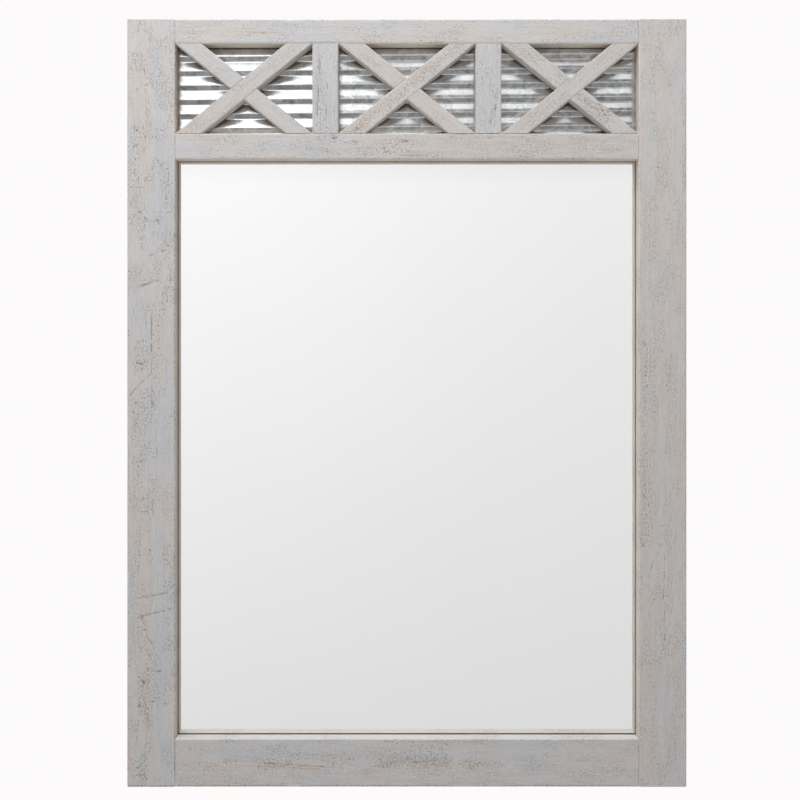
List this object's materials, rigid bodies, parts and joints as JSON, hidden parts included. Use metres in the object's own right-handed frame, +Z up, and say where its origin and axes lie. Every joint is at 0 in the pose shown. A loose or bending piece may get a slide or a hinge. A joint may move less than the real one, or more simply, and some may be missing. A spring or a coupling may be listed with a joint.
{
  "type": "framed wall mirror",
  "caption": "Tall wall mirror in a whitewashed plank frame, with X braces over corrugated galvanised steel above the glass and swinging ring hangers behind.",
  "frame": {"origin": "on the wall plane, midway between the seats of the two wall hooks that carry the raised hanger rings", "axes": "+X to the right seen from the front, +Y into the wall, +Z up; the glass faces -Y"},
  "size_m": [0.666, 0.034, 0.914],
  "materials": {
    "whitewashed_wood": "whitewashed rough-sawn softwood, worn to tan wood along its edges",
    "joinery_wood": "planed beech",
    "galvanised_steel": "galvanised, spangled and a little stained",
    "mirror": "silvered float glass",
    "hardboard": "smooth brown hardboard",
    "plated_steel": "zinc plated",
    "bumper_rubber": "matt black"
  },
  "bodies": {
    "frame": {"left_stile": "whitewashed_wood", "right_stile": "whitewashed_wood", "top_rail": "whitewashed_wood", "middle_rail": "whitewashed_wood", "bottom_rail": "whitewashed_wood", "left_mullion": "whitewashed_wood", "right_mullion": "whitewashed_wood", "left_rising_brace": "whitewashed_wood", "left_falling_brace": "whitewashed_wood", "centre_rising_brace": "whitewashed_wood", "centre_falling_brace": "whitewashed_wood", "right_rising_brace": "whitewashed_wood", "right_falling_brace": "whitewashed_wood", "rail_tenons": "joinery_wood", "mullion_tenons": "joinery_wood", "corrugated_sheet": "galvanised_steel", "mirror_glass": "mirror", "backing_board": "hardboard", "left_hanger_strap": "plated_steel", "right_hanger_strap": "plated_steel", "hanger_screws": "plated_steel", "retaining_points": "plated_steel", "brace_end_brads": "plated_steel", "brace_lap_brads": "plated_steel", "wall_bumpers": "bumper_rubber"},
    "left_ring": {"left_hanger_ring": "plated_steel"},
    "right_ring": {"right_hanger_ring": "plated_steel"}
  },
  "joints": [
    {"name": "left_ring_hinge", "type": "hinge", "parent": "frame", "child": "left_ring", "pos_m": [-0.3085, -0.0034, -0.0135], "axis": [1, 0, 0], "range_deg": [0, 173]},
    {"name": "right_ring_hinge", "type": "hinge", "parent": "frame", "child": "right_ring", "pos_m": [0.3085, -0.0034, -0.0135], "axis": [1, 0, 0], "range_deg": [0, 173]}
  ]
}
